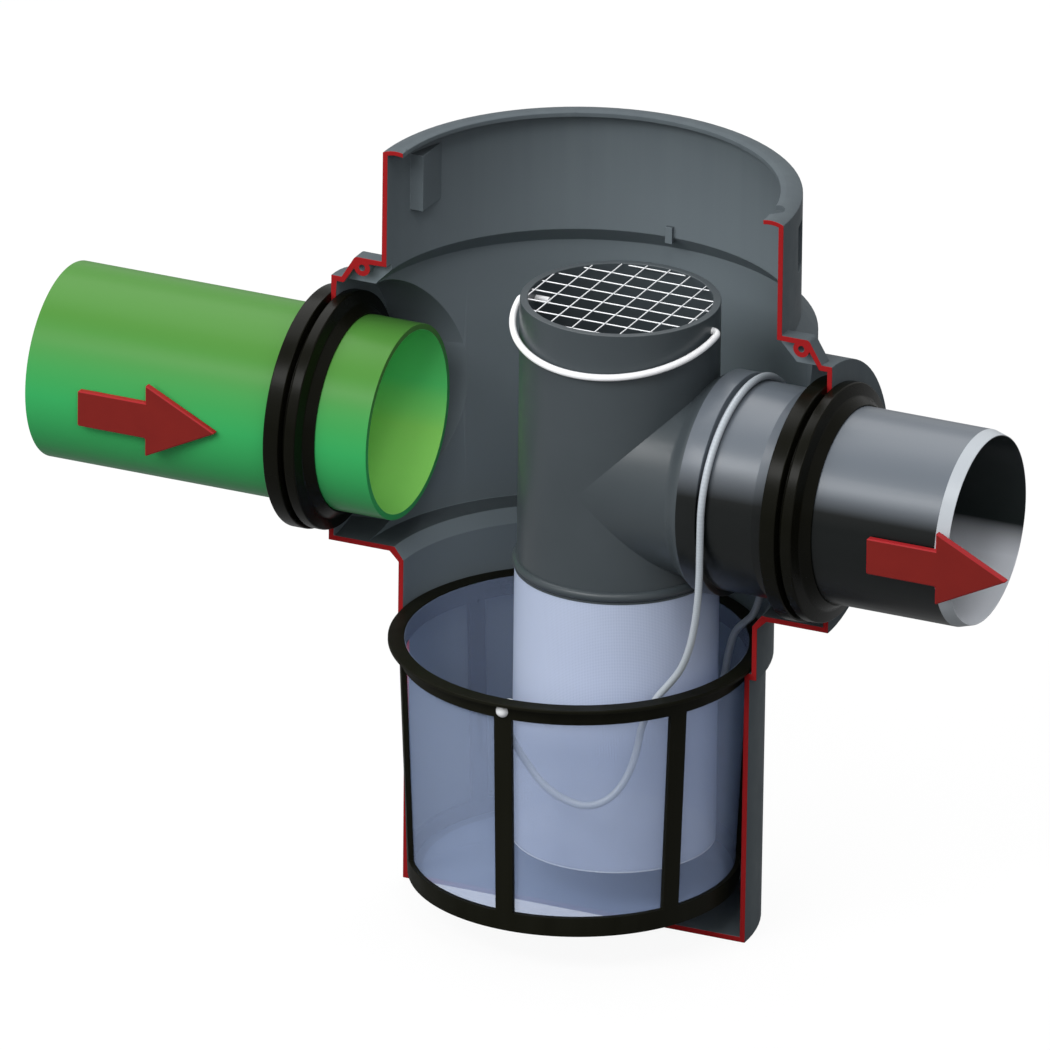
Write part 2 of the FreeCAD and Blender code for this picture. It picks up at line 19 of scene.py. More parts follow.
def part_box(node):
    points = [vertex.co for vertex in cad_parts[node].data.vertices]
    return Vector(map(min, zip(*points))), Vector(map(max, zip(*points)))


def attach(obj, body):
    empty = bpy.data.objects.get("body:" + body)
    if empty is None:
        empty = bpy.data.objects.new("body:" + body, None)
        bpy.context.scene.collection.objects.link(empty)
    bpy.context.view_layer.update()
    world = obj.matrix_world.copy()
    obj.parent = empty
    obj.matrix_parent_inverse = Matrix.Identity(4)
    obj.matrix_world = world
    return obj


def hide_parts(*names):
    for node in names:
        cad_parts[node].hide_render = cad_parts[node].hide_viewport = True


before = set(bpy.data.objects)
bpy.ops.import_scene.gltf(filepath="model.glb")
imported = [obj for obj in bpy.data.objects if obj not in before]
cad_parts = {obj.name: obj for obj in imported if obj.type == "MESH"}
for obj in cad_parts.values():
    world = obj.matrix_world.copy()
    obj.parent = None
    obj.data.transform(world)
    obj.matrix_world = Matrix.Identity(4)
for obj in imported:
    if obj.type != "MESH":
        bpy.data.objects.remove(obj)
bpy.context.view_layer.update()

log = logging.getLogger("pre_filter")

Socket = bpy.types.NodeSocket
Profile = Sequence[tuple[float, float]]
Point = tuple[float, float, float]

# Sizes that more than one class needs
PIPE_AXIS_Z = 0.4963
SPIGOT_CHAMFER_LENGTH = 0.0132
CORD_LENGTH = 1.33

# Heights between which the tee's socket and the outlet pipe turn from painted shade below to painted
# light on top
PAINTED_LIGHT_LOW = 0.522
PAINTED_LIGHT_HIGH = 0.554

# Standard curve from screen colours to scene-linear ones
BRIGHTEST = 255
CURVE_KNEE = 0.04045
CURVE_SLOPE = 12.92
CURVE_LIFT = 0.055
CURVE_POWER = 2.4

# Places of the sockets for colours on a Mix node
MIX_LOW = 6
MIX_HIGH = 7
MIX_RESULT = 2

# Span that a noise's values seldom leave
NOISE_LOW = 0.3
NOISE_HIGH = 0.7

# Noises, each as waves in a metre and octaves
CLOUDS = (6.0, 4.0)
WEAR = (45.0, 5.0)
FINE_GRAIN = (900.0, 2.0)
PIPE_DRIFT = (14.0, 2.0)
RUBBER_DUST = (24.0, 3.0)
RUBBER_SHEEN = (18.0, 2.0)
RUBBER_GRAIN = (420.0, 2.0)
COAT_TONE = (80.0, 3.0)
COAT_GRAIN = (700.0, 2.0)
PAINT_TONE = (40.0, 4.0)
PAINT_GRAIN = (500.0, 2.0)

# Limits of the work on meshes
SAME_POINT = 2e-6
SAME_SPUN_POINT = 1e-6
FLAT_DEG = 0.2
CREASE_DEG = 3.0
CORNER_DEG = 30.0
SHARP_BEVEL_DEG = 60.0
BEVELS_IN_A_FACE = 2.2


class Body(Enum):
    """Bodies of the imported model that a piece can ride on."""

    FILTER = "filter"
    BAIL = "bail"


@dataclass(frozen=True)
class Colour:
    """Colour as it shows on screen, each part from 0 to 255."""

    red: int
    green: int
    blue: int

    @property
    def linear(self) -> tuple[float, float, float, float]:
        """Scene-linear form of the colour.

        Returns:
            Red, green, blue and a full alpha.
        """
        curved = []
        for part in (self.red / BRIGHTEST, self.green / BRIGHTEST, self.blue / BRIGHTEST):
            if part <= CURVE_KNEE:
                curved.append(part / CURVE_SLOPE)
            else:
                curved.append(((part + CURVE_LIFT) / (1.0 + CURVE_LIFT)) ** CURVE_POWER)
        return (*curved, 1.0)

    def dimmed(self, share: float) -> "Colour":
        """The colour with each part cut to a share of it."""
        return Colour(int(self.red * share), int(self.green * share), int(self.blue * share))


class Shading:
    """Node tree of one new material, with short calls for its nodes and links."""

    def __init__(self, name: str) -> None:
        """Starts a material with a Principled shader.

        Args:
            name: Name of the material.
        """
        self.material = bpy.data.materials.new(name)
        self.material.use_nodes = True
        self.tree = self.material.node_tree
        self.tree.nodes.clear()
        self.output = self.tree.nodes.new("ShaderNodeOutputMaterial")
        self.shader = self.tree.nodes.new("ShaderNodeBsdfPrincipled")
        self.link(self.shader.outputs["BSDF"], self.output.inputs["Surface"])
        self.object_point = self.add("ShaderNodeTexCoord").outputs["Object"]

    def add(self, kind: str) -> bpy.types.ShaderNode:
        """Adds a node of a kind and returns it."""
        return self.tree.nodes.new(kind)

    def link(self, source: Socket, target: Socket) -> None:
        """Links one socket to another."""
        self.tree.links.new(source, target)

    def give(self, value: object, target: Socket) -> None:
        """Links an input to a socket, or sets it to a value.

        Args:
            value: Socket, colour, number or vector.
            target: The input.
        """
        if isinstance(value, Socket):
            self.link(value, target)
        else:
            target.default_value = value.linear if isinstance(value, Colour) else value

    def set(self, **values: object) -> None:
        """Gives inputs of the shader; a name's underscores stand for spaces."""
        for name, value in values.items():
            self.give(value, self.shader.inputs[name.replace("_", " ")])

    def stretched_point(self, scale: Point) -> Socket:
        """Object coordinates, scaled on each axis.

        Args:
            scale: Factor on X, Y and Z.

        Returns:
            The scaled vector.
        """
        mapping = self.add("ShaderNodeMapping")
        mapping.inputs["Scale"].default_value = scale
        self.link(self.object_point, mapping.inputs["Vector"])
        return mapping.outputs["Vector"]

    def noise(self, scale: float, detail: float, point: Optional[Socket] = None) -> Socket:
        """Noise from 0 to 1.

        Args:
            scale: Waves in a metre.
            detail: Octaves.
            point: Coordinates, or none for the object's own.

        Returns:
            The noise value.
        """
        node = self.add("ShaderNodeTexNoise")
        node.inputs["Scale"].default_value = scale
        node.inputs["Detail"].default_value = detail
        self.link(point or self.object_point, node.inputs["Vector"])
        return node.outputs["Fac"]

    def span(
        self, value: Socket, low: float, high: float, to_low: float, to_high: float
    ) -> Socket:
        """Maps a value's span to another, with its ends held.

        Args:
            value: Value to map.
            low: Value that gives to_low.
            high: Value that gives to_high.
            to_low: Result at low and under it.
            to_high: Result at high and over it.

        Returns:
            The mapped value.
        """
        node = self.add("ShaderNodeMapRange")
        names = ("From Min", "From Max", "To Min", "To Max")
        for name, number in zip(names, (low, high, to_low, to_high)):
            node.inputs[name].default_value = number
        self.link(value, node.inputs["Value"])
        return node.outputs["Result"]

    def varied(self, noise: Socket, to_low: float, to_high: float) -> Socket:
        """Maps the span of a noise's usual values to another."""
        return self.span(noise, NOISE_LOW, NOISE_HIGH, to_low, to_high)

    def math(self, operation: str, first: Socket, second: object = 0.0) -> Socket:
        """One Math node.

        Args:
            operation: Name of the operation, such as MULTIPLY.
            first: First input.
            second: Second input, a socket or a number.

        Returns:
            The result.
        """
        node = self.add("ShaderNodeMath")
        node.operation = operation
        self.link(first, node.inputs[0])
        self.give(second, node.inputs[1])
        return node.outputs[0]

    def squared(self, value: Socket) -> Socket:
        """Square of a value."""
        return self.math("MULTIPLY", value, value)

    def axis_value(self, axis: str, point: Optional[Socket] = None) -> Socket:
        """One axis of a point.

        Args:
            axis: X, Y or Z.
            point: Coordinates, or none for the object's own.

        Returns:
            The value on that axis.
        """
        node = self.add("ShaderNodeSeparateXYZ")
        self.link(point or self.object_point, node.inputs[0])
        return node.outputs[axis]

    def colour_between(self, factor: Socket, low: object, high: object) -> Socket:
        """Mix of two colours.

        Args:
            factor: 0 for the low colour, 1 for the high one.
            low: Colour at 0, or a socket.
            high: Colour at 1, or a socket.

        Returns:
            The mixed colour.
        """
        node = self.add("ShaderNodeMix")
        node.data_type = "RGBA"
        self.link(factor, node.inputs[0])
        self.give(low, node.inputs[MIX_LOW])
        self.give(high, node.inputs[MIX_HIGH])
        return node.outputs[MIX_RESULT]

    def bump(self, height: Socket, distance: float) -> None:
        """Bumps the surface by a height.

        Args:
            height: Height from 0 to 1.
            distance: Rise in metres from 0 to 1.
        """
        node = self.add("ShaderNodeBump")
        node.inputs["Distance"].default_value = distance
        node.inputs["Strength"].default_value = 1.0
        self.link(height, node.inputs["Height"])
        self.link(node.outputs["Normal"], self.shader.inputs["Normal"])


@dataclass(frozen=True)
class Finish(ABC):
    """A finish of the filter, which makes its own material."""

    name: str

    def build(self) -> bpy.types.Material:
        """Makes the material.

        Returns:
            The new material.
        """
        shading = Shading(self.name)
        self.set_up(shading)
        return shading.material

    @abstractmethod
    def set_up(self, shading: Shading) -> None:
        """Sets up the new material.

        Args:
            shading: Nodes of the new material.
        """


@dataclass(frozen=True)
class MouldedPlastic(Finish):
    """Moulded plastic: satin, with a fine grain, faint upright flow streaks and a slow tone change.

    A piece with the face attribute inside can be painted paler there, below a height, as painted
    fill light for the shade inside it.
    """

    base: Colour
    cloud: Colour
    roughness: float = 0.42
    gloss: float = 0.25
    tone_low: float = 0.7
    tone_high: float = 1.3
    streak_scale: float = 55.0
    streak_detail: float = 2.0
    streak_stretch: Point = (1.0, 1.0, 0.02)
    grain_depth: float = 0.00008
    polish: float = 0.04
    wear: float = 0.06
    cut_face: Optional[Colour] = None
    cut_depth: float = 0.0004
    painted_fill: Optional[Colour] = None
    painted_fill_low: float = 0.57
    painted_fill_high: float = 0.8

    def set_up(self, shading: Shading) -> None:
        """Sets up the new material.

        Args:
            shading: Nodes of the new material.
        """
        clouds = shading.noise(*CLOUDS)
        upright = shading.stretched_point(self.streak_stretch)
        streaks = shading.noise(self.streak_scale, self.streak_detail, upright)
        both = shading.math("ADD", clouds, streaks)
        tone = shading.span(both, self.tone_low, self.tone_high, 0.0, 1.0)
        colour = shading.colour_between(tone, self.base, self.cloud)
        smoothest = self.roughness - self.polish
        rough = shading.varied(shading.noise(*WEAR), smoothest, self.roughness + self.wear)
        # Faces that look inwards are painted paler below a height, as painted fill light in the
        # shaft's shaded inside
        if self.painted_fill:
            inside = shading.add("ShaderNodeAttribute")
            inside.attribute_name = "inside"
            height = shading.axis_value("Z")
            fill_by_height = shading.span(height, self.painted_fill_low, self.painted_fill_high, 1.0, 0.0)
            share = shading.math("MULTIPLY", inside.outputs["Fac"], fill_by_height)
            colour = shading.colour_between(share, colour, self.painted_fill)
        if self.cut_face:
            is_cut = shading.math("LESS_THAN", shading.axis_value("Y"), self.cut_depth)
            colour = shading.colour_between(is_cut, colour, self.cut_face)
        shading.set(Base_Color=colour, Roughness=rough, Specular_IOR_Level=self.gloss)
        shading.bump(shading.noise(*FINE_GRAIN), self.grain_depth)


@dataclass(frozen=True)
class ExtrudedPipe(Finish):
    """Extruded pipe plastic: a soft gloss and faint draw lines along X, with painted light on its
    top and a bore painted paler towards its bottom as painted light.
    """

    base: Colour
    lit_top: Colour
    bore: Colour
    lit_invert: Colour
    bore_radius: float
    bore_margin: float = 0.0005
    chamfer_highlight: Optional[Colour] = None
    chamfered_node: str = "outlet_pipe"
    roughness: float = 0.3
    polish: float = 0.02
    wear: float = 0.04
    gloss: float = 0.25
    line_scale: float = 160.0
    line_detail: float = 2.0
    line_stretch: Point = (0.02, 1.0, 1.0)
    line_depth: float = 0.00002
    drift: float = 0.012
    lit_top_low: float = 0.49
    lit_top_high: float = 0.57
    lit_invert_low: float = 0.455
    lit_invert_high: float = 0.505

    def set_up(self, shading: Shading) -> None:
        """Sets up the new material.

        Args:
            shading: Nodes of the new material.
        """
        along = shading.stretched_point(self.line_stretch)
        lines = shading.noise(self.line_scale, self.line_detail, along)
        drift = shading.varied(shading.noise(*PIPE_DRIFT, along), -self.drift, self.drift)
        height = shading.math("ADD", shading.axis_value("Z"), drift)
        # The top is painted in a paler colour as painted light, along a line that a noise shifts up
        # and down
        lit_top_share = shading.span(height, self.lit_top_low, self.lit_top_high, 0.0, 1.0)
        colour = shading.colour_between(lit_top_share, self.base, self.lit_top)
        # The chamfer at the pipe's end is painted pale grey, a painted highlight
        if self.chamfer_highlight:
            chamfer_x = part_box(self.chamfered_node)[1].x - SPIGOT_CHAMFER_LENGTH
            is_chamfer = shading.math("GREATER_THAN", shading.axis_value("X"), chamfer_x)
            colour = shading.colour_between(is_chamfer, colour, self.chamfer_highlight)
        # Inside the bore the colour turns paler towards the bottom as painted light; on the green
        # pipe the bore colour itself is painted fill light
        above = shading.squared(shading.math("SUBTRACT", shading.axis_value("Z"), PIPE_AXIS_Z))
        square = shading.math("ADD", above, shading.squared(shading.axis_value("Y")))
        bore_square = (self.bore_radius + self.bore_margin) ** 2
        inside = shading.math("LESS_THAN", square, bore_square)
        lit_invert_share = shading.span(height, self.lit_invert_low, self.lit_invert_high, 1.0, 0.0)
        lining = shading.colour_between(lit_invert_share, self.bore, self.lit_invert)
        colour = shading.colour_between(inside, colour, lining)
        rough = shading.varied(lines, self.roughness - self.polish, self.roughness + self.wear)
        shading.set(Base_Color=colour, Roughness=rough, Specular_IOR_Level=self.gloss)
        shading.bump(lines, self.line_depth)


@dataclass(frozen=True)
class TeePlastic(Finish):
    """Plastic of the tee: satin up to the socket's bead, glossy and darker from there on, with
    painted light on the socket's top and painted shade below it.
    """

    base: Colour
    cloud: Colour
    socket: Colour
    socket_lit_top: Colour
    tone_low: float = 0.35
    tone_high: float = 0.65
    socket_x: float = 0.157
    roughness: float = 0.34
    socket_roughness: float = 0.3
    polish: float = 0.02
    wear: float = 0.03
    gloss: float = 0.42
    grain_depth: float = 0.00006

    def set_up(self, shading: Shading) -> None:
        """Sets up the new material.

        Args:
            shading: Nodes of the new material.
        """
        tone = shading.span(shading.noise(*CLOUDS), self.tone_low, self.tone_high, 0.0, 1.0)
        satin = shading.colour_between(tone, self.base, self.cloud)
        # The socket's top is painted paler as painted light, and its lower side near black as
        # painted shade
        lit_top_share = shading.span(shading.axis_value("Z"), PAINTED_LIGHT_LOW, PAINTED_LIGHT_HIGH, 0.0, 1.0)
        glossy = shading.colour_between(lit_top_share, self.socket, self.socket_lit_top)
        is_socket = shading.math("GREATER_THAN", shading.axis_value("X"), self.socket_x)
        colour = shading.colour_between(is_socket, satin, glossy)
        wear = shading.varied(shading.noise(*WEAR), -self.polish, self.wear)
        level = shading.span(is_socket, 0.0, 1.0, self.roughness, self.socket_roughness)
        rough = shading.math("ADD", level, wear)
        shading.set(Base_Color=colour, Roughness=rough, Specular_IOR_Level=self.gloss)
        shading.bump(shading.noise(*FINE_GRAIN), self.grain_depth)


@dataclass(frozen=True)
class SealRubber(Finish):
    """Smooth black rubber with a soft sheen."""

    base: Colour
    bloom: Colour
    bloom_low: float = 0.45
    bloom_high: float = 0.8
    bloom_share: float = 0.5
    roughness: float = 0.25
    wear: float = 0.03
    gloss: float = 0.09
    grain_depth: float = 0.00002

    def set_up(self, shading: Shading) -> None:
        """Sets up the new material.

        Args:
            shading: Nodes of the new material.
        """
        dust = shading.noise(*RUBBER_DUST)
        share = shading.span(dust, self.bloom_low, self.bloom_high, 0.0, self.bloom_share)
        colour = shading.colour_between(share, self.base, self.bloom)
        sheen = shading.noise(*RUBBER_SHEEN)
        rough = shading.varied(sheen, self.roughness, self.roughness + self.wear)
        shading.set(Base_Color=colour, Roughness=rough, Specular_IOR_Level=self.gloss)
        shading.bump(shading.noise(*RUBBER_GRAIN), self.grain_depth)


@dataclass(frozen=True)
class MeshDisc(Finish):
    """Fine see-through mesh lying flat, woven along X and Y.

    The opacity is what one face of the mesh stops, and its wall has two faces.
    """

    thread: Colour
    shade: Colour
    opacity: float
    pitch: float = 0.0016
    openness: float = 0.06
    tone_scale: float = 12.0
    tone_detail: float = 2.0
    roughness: float = 0.5
    gloss: float = 0.1

    def phases(self, shading: Shading) -> list[Socket]:
        """Angles that grow by half a turn from one thread to the next, one each way of the weave.

        Args:
            shading: Nodes of the new material.

        Returns:
            The two angles.
        """
        step = math.pi / self.pitch
        return [shading.math("MULTIPLY", shading.axis_value(axis), step) for axis in ("X", "Y")]

    def set_up(self, shading: Shading) -> None:
        """Sets up the new material.

        Args:
            shading: Nodes of the new material.
        """
        sines = [shading.math("SINE", phase) for phase in self.phases(shading)]
        warp, weft = [shading.math("ABSOLUTE", sine) for sine in sines]
        weave = shading.math("MULTIPLY", warp, weft)
        closed = self.opacity + self.openness
        alpha = shading.span(weave, 0.0, 1.0, closed, self.opacity - self.openness)
        tone = shading.varied(shading.noise(self.tone_scale, self.tone_detail), 0.0, 1.0)
        colour = shading.colour_between(tone, self.thread, self.shade)
        shading.set(Roughness=self.roughness, Specular_IOR_Level=self.gloss)
        shading.set(Base_Color=colour, Alpha=alpha)


@dataclass(frozen=True)
class WovenMesh(MeshDisc):
    """Fine see-through mesh on an upright tube, woven round it and up it."""

    tone_scale: float = 5.0
    centre_x: float = 0.0
    radius: float = 0.1

    def phases(self, shading: Shading) -> list[Socket]:
        """Angles that grow by half a turn from one thread to the next, round the tube and up it.

        Args:
            shading: Nodes of the new material.

        Returns:
            The two angles.
        """
        x = shading.math("SUBTRACT", shading.axis_value("X"), self.centre_x)
        turn = shading.math("ARCTAN2", shading.axis_value("Y"), x)
        step = math.pi / self.pitch
        round_it = shading.math("MULTIPLY", turn, self.radius * step)
        return [round_it, shading.math("MULTIPLY", shading.axis_value("Z"), step)]


@dataclass(frozen=True)
class SmoothCoat(Finish):
    """Coated wire or smooth plastic, with a faint change of tone."""

    base: Colour
    roughness: float
    shade_share: float = 0.88
    least_tone: float = 0.9
    grain_depth: float = 0.00002

    def set_up(self, shading: Shading) -> None:
        """Sets up the new material.

        Args:
            shading: Nodes of the new material.
        """
        tone = shading.varied(shading.noise(*COAT_TONE), self.least_tone, 1.0)
        colour = shading.colour_between(tone, self.base.dimmed(self.shade_share), self.base)
        shading.set(Base_Color=colour, Roughness=self.roughness)
        shading.bump(shading.noise(*COAT_GRAIN), self.grain_depth)


@dataclass(frozen=True)
class CordFibre(Finish):
    """Braided cord, its braid following the cord's own length, its grooves darkened as painted
    shade.
    """

    base: Colour
    groove_shade: Colour
    braid_pitch: float = 0.005
    braid_depth: float = 0.00006
    strands: int = 2
    length: float = CORD_LENGTH
    roughness: float = 0.28
    gloss: float = 0.5

    def set_up(self, shading: Shading) -> None:
        """Sets up the new material.

        Args:
            shading: Nodes of the new material.
        """
        flow = shading.add("ShaderNodeTexCoord").outputs["UV"]
        turns = math.tau * self.length / self.braid_pitch
        along = shading.math("MULTIPLY", shading.axis_value("X", flow), turns)
        around = shading.math("MULTIPLY", shading.axis_value("Y", flow), self.strands * math.tau)
        left = shading.math("SINE", shading.math("ADD", along, around))
        right = shading.math("SINE", shading.math("SUBTRACT", along, around))
        braid = shading.span(shading.math("MULTIPLY", left, right), -1.0, 1.0, 0.0, 1.0)
        # The braid's grooves are painted darker, as painted shade
        colour = shading.colour_between(braid, self.groove_shade, self.base)
        shading.set(Roughness=self.roughness, Specular_IOR_Level=self.gloss)
        shading.set(Base_Color=colour)
        shading.bump(braid, self.braid_depth)


@dataclass(frozen=True)
class EnamelPaint(Finish):
    """Enamel on a cut plate: dull on its front face, and a brighter red on the bevels round it,
    which is a painted highlight.
    """

    face: Colour
    shade: Colour
    rim_highlight: Colour
    node: str = "outlet_arrow"
    face_depth: float = 0.0001
    roughness: float = 0.5
    gloss: float = 0.2
    grain_depth: float = 0.00004

    def set_up(self, shading: Shading) -> None:
        """Sets up the new material.

        Args:
            shading: Nodes of the new material.
        """
        tone = shading.varied(shading.noise(*PAINT_TONE), 0.0, 1.0)
        front = shading.colour_between(tone, self.face, self.shade)
        # The bevels behind the front face take a brighter red, a painted highlight
        behind_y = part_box(self.node)[0].y + self.face_depth
        is_rim = shading.math("GREATER_THAN", shading.axis_value("Y"), behind_y)
        colour = shading.colour_between(is_rim, front, self.rim_highlight)
        shading.set(Roughness=self.roughness, Specular_IOR_Level=self.gloss)
        shading.set(Base_Color=colour)
        shading.bump(shading.noise(*PAINT_GRAIN), self.grain_depth)


# Dark plastic of the tee's socket and the outlet pipe, near black as painted shade on their lower
# sides, and the paler colour of their tops, which is painted light
DARK_SHADED_PLASTIC = Colour(10, 14, 14)
DARK_PAINTED_LIT_TOP = Colour(96, 103, 111)


@dataclass(frozen=True)
class Palette:
    """Every finish of the filter, made once."""

    shaft: MouldedPlastic = MouldedPlastic(
        "shaft_plastic",
        Colour(80, 87, 92),
        Colour(86, 94, 98),
        gloss=0.03,
        cut_face=Colour(150, 31, 33),
        # Painted fill light on the shaft's inside
        painted_fill=Colour(116, 126, 132),
    )
    tee: TeePlastic = TeePlastic(
        "tee_plastic",
        Colour(60, 67, 71),
        Colour(66, 73, 77),
        # The socket's colours are painted shade below and painted light on top
        socket=DARK_SHADED_PLASTIC,
        socket_lit_top=DARK_PAINTED_LIT_TOP,
    )
    green_pipe: ExtrudedPipe = ExtrudedPipe(
        "green_pipe",
        Colour(56, 167, 92),
        # The second colour is painted light on the pipe's top, and the bore's colours are painted
        # fill light, paler at its bottom
        Colour(74, 129, 55),
        bore=Colour(104, 226, 132),
        lit_invert=Colour(158, 234, 118),
        bore_radius=0.0936,
        gloss=0.12,
    )
    dark_pipe: ExtrudedPipe = ExtrudedPipe(
        "dark_pipe",
        # Near black as painted shade below, with painted light on the top and a bore painted paler
        # at its bottom as painted light
        DARK_SHADED_PLASTIC,
        DARK_PAINTED_LIT_TOP,
        bore=Colour(34, 40, 40),
        lit_invert=Colour(225, 230, 238),
        bore_radius=0.0951,
        # Painted highlight on the chamfer
        chamfer_highlight=Colour(178, 184, 190),
        gloss=0.36,
        lit_top_low=PAINTED_LIGHT_LOW,
        lit_top_high=PAINTED_LIGHT_HIGH,
        lit_invert_low=0.436,
        lit_invert_high=0.47,
    )
    seal: SealRubber = SealRubber("seal_rubber", Colour(14, 14, 8), Colour(20, 20, 17))
    grid: SmoothCoat = SmoothCoat("grid_wire", Colour(245, 247, 250), 0.35)
    bail: SmoothCoat = SmoothCoat("bail_wire", Colour(245, 246, 248), 0.3)
    sleeve: WovenMesh = WovenMesh(
        "sleeve_mesh",
        Colour(222, 233, 255),
        Colour(214, 226, 252),
        opacity=0.46,
        centre_x=0.0432,
        radius=0.1028,
    )
    # The sleeve's floor is painted paler than the sleeve, as painted fill light for the shade inside
    # the sleeve
    sleeve_disc: MeshDisc = MeshDisc(
        "sleeve_disc_mesh", Colour(244, 249, 255), Colour(238, 244, 254), opacity=0.75
    )
    basket: MouldedPlastic = MouldedPlastic(
        "basket_plastic", Colour(18, 18, 10), Colour(24, 24, 17), roughness=0.5, gloss=0.08
    )
    basket_mesh: WovenMesh = WovenMesh(
        "basket_mesh", Colour(188, 205, 238), Colour(176, 195, 232), opacity=0.2, radius=0.17
    )
    basket_disc: MeshDisc = MeshDisc(
        "basket_disc_mesh", Colour(176, 195, 232), Colour(166, 186, 226), opacity=0.35
    )
    anchor: SmoothCoat = SmoothCoat("anchor_plastic", Colour(244, 246, 248), 0.3)
    cord: CordFibre = CordFibre("cord_fibre", Colour(182, 189, 196), Colour(168, 176, 183))
    arrow: EnamelPaint = EnamelPaint(
        "arrow_red", Colour(122, 31, 26), Colour(117, 29, 25), Colour(154, 25, 31)
    )


@dataclass
class Workshop:
    """Turns bmeshes into finished pieces of the scene, with the finishes of its palette."""

    palette: Palette
    made: dict[str, bpy.types.Material] = field(default_factory=dict)

    def material(self, finish: Finish) -> bpy.types.Material:
        """Material of a finish, built the first time it is asked for.

        Args:
            finish: The finish.

        Returns:
            Its material.
        """
        if finish.name not in self.made:
            self.made[finish.name] = finish.build()
        return self.made[finish.name]

    def dress(self, node: str, finish: Finish) -> None:
        """Gives a CAD node, kept as it is, the material of a finish.

        Args:
            node: Name of the CAD node.
            finish: The finish.
        """
        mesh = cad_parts[node].data
        mesh.materials.clear()
        mesh.materials.append(self.material(finish))
        log.info("%s keeps its CAD form in %s", node, finish.name)

    def piece(
        self,
        shape: bmesh.types.BMesh,
        name: str,
        finish: Finish,
        nodes: Iterable[str],
        body: Body = Body.FILTER,
        sharp_deg: Optional[float] = None,
    ) -> None:
        """Finishes a shape as one named piece.

        Args:
            shape: The bmesh, which is freed.
            name: Name of the piece.
            finish: Finish whose material it gets.
            nodes: CAD nodes that the piece stands for.
            body: Body that it rides on.
            sharp_deg: Edges that turn more than this stay sharp, or none to keep the shape's marks.
        """
        mesh = bpy.data.meshes.new(name)
        shape.to_mesh(mesh)
        shape.free()
        if sharp_deg is not None:
            mesh.shade_smooth()
            mesh.set_sharp_from_angle(angle=math.radians(sharp_deg))
        mesh.materials.append(self.material(finish))
        made = bpy.data.objects.new(name, mesh)
        bpy.context.scene.collection.objects.link(made)
        evened = made.modifiers.new("evened_normals", "WEIGHTED_NORMAL")
        evened.keep_sharp = True
        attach(made, body.value)
        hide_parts(*nodes)
        log.info("%s has %d faces", name, len(mesh.polygons))


def cad_copy(
    node: str,
    bevel: float = 0.0,
    segments: int = 2,
    corner_deg: float = CORNER_DEG,
    inside: bool = True,
) -> bmesh.types.BMesh:
    """Merged copy of a CAD node's mesh, with its creases marked and its corners rounded.

    Args:
        node: Name of the CAD node.
        bevel: Width of the rounding, in metres, or 0 for none.
        segments: Faces across the rounding.
        corner_deg: Edges that turn more than this are corners.
        inside: Whether inside corners are rounded too.

    Returns:
        The new bmesh.
    """
    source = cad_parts[node].data.copy()
    normals = source.attributes.new("cad_normal", "FLOAT_VECTOR", "CORNER")
    parts = [part for corner in source.corner_normals for part in corner.vector]
    normals.data.foreach_set("vector", parts)
    shape = bmesh.new()
    shape.from_mesh(source)
    bpy.data.meshes.remove(source)
    bmesh.ops.remove_doubles(shape, verts=shape.verts, dist=SAME_POINT)
    mark_creases(shape)
    bmesh.ops.dissolve_limit(
        shape,
        angle_limit=math.radians(FLAT_DEG),
        verts=shape.verts,
        edges=shape.edges,
        delimit={"NORMAL"},
    )
    if bevel:
        round_corners(shape, bevel, segments, corner_deg, inside)
    return shape


def mark_creases(shape: bmesh.types.BMesh) -> None:
    """Marks the edges where the CAD surfaces meet at an angle, and smooths every face.

    Args:
        shape: The bmesh, with the CAD normals in its layer cad_normal, which is taken off.
    """
    layer = shape.loops.layers.float_vector["cad_normal"]
    limit = math.radians(CREASE_DEG)
    for edge in shape.edges:
        if len(edge.link_loops) != 2:
            edge.smooth = False
            continue
        first, second = edge.link_loops
        turns = [
            first[layer].angle(second.link_loop_next[layer], 0.0),
            first.link_loop_next[layer].angle(second[layer], 0.0),
        ]
        edge.smooth = max(turns) < limit
    for face in shape.faces:
        face.smooth = True
    shape.loops.layers.float_vector.remove(layer)


def face_width(face: bmesh.types.BMFace) -> float:
    """Width of a face across its longest edge."""
    return face.calc_area() / max(edge.calc_length() for edge in face.edges)


def round_corners(
    shape: bmesh.types.BMesh,
    width: float,
    segments: int,
    corner_deg: float = CORNER_DEG,
    inside: bool = True,
) -> None:
    """Bevels every edge of a shape that turns by more than an angle.

    Args:
        shape: The bmesh to change.
        width: Width of the bevel, in metres.
        segments: Faces across it.
        corner_deg: Edges that turn more than this are bevelled.
        inside: Whether inside corners are bevelled too.
    """
    limit = math.radians(corner_deg)
    corners = [
        edge
        for edge in shape.edges
        if len(edge.link_faces) == 2
        and edge.calc_face_angle(0.0) > limit
        and (inside or edge.is_convex)
        and min(face_width(face) for face in edge.link_faces) > BEVELS_IN_A_FACE * width
    ]
    result = bmesh.ops.bevel(
        shape,
        geom=corners,
        offset=width,
        offset_type="OFFSET",
        segments=segments,
        profile=0.5,
        affect="EDGES",
        clamp_overlap=False,
        material=-1,
    )
    sharp = math.radians(SHARP_BEVEL_DEG)
    for face in result["faces"]:
        face.smooth = True
        for edge in face.edges:
            edge.smooth = edge.calc_face_angle(math.pi) < sharp


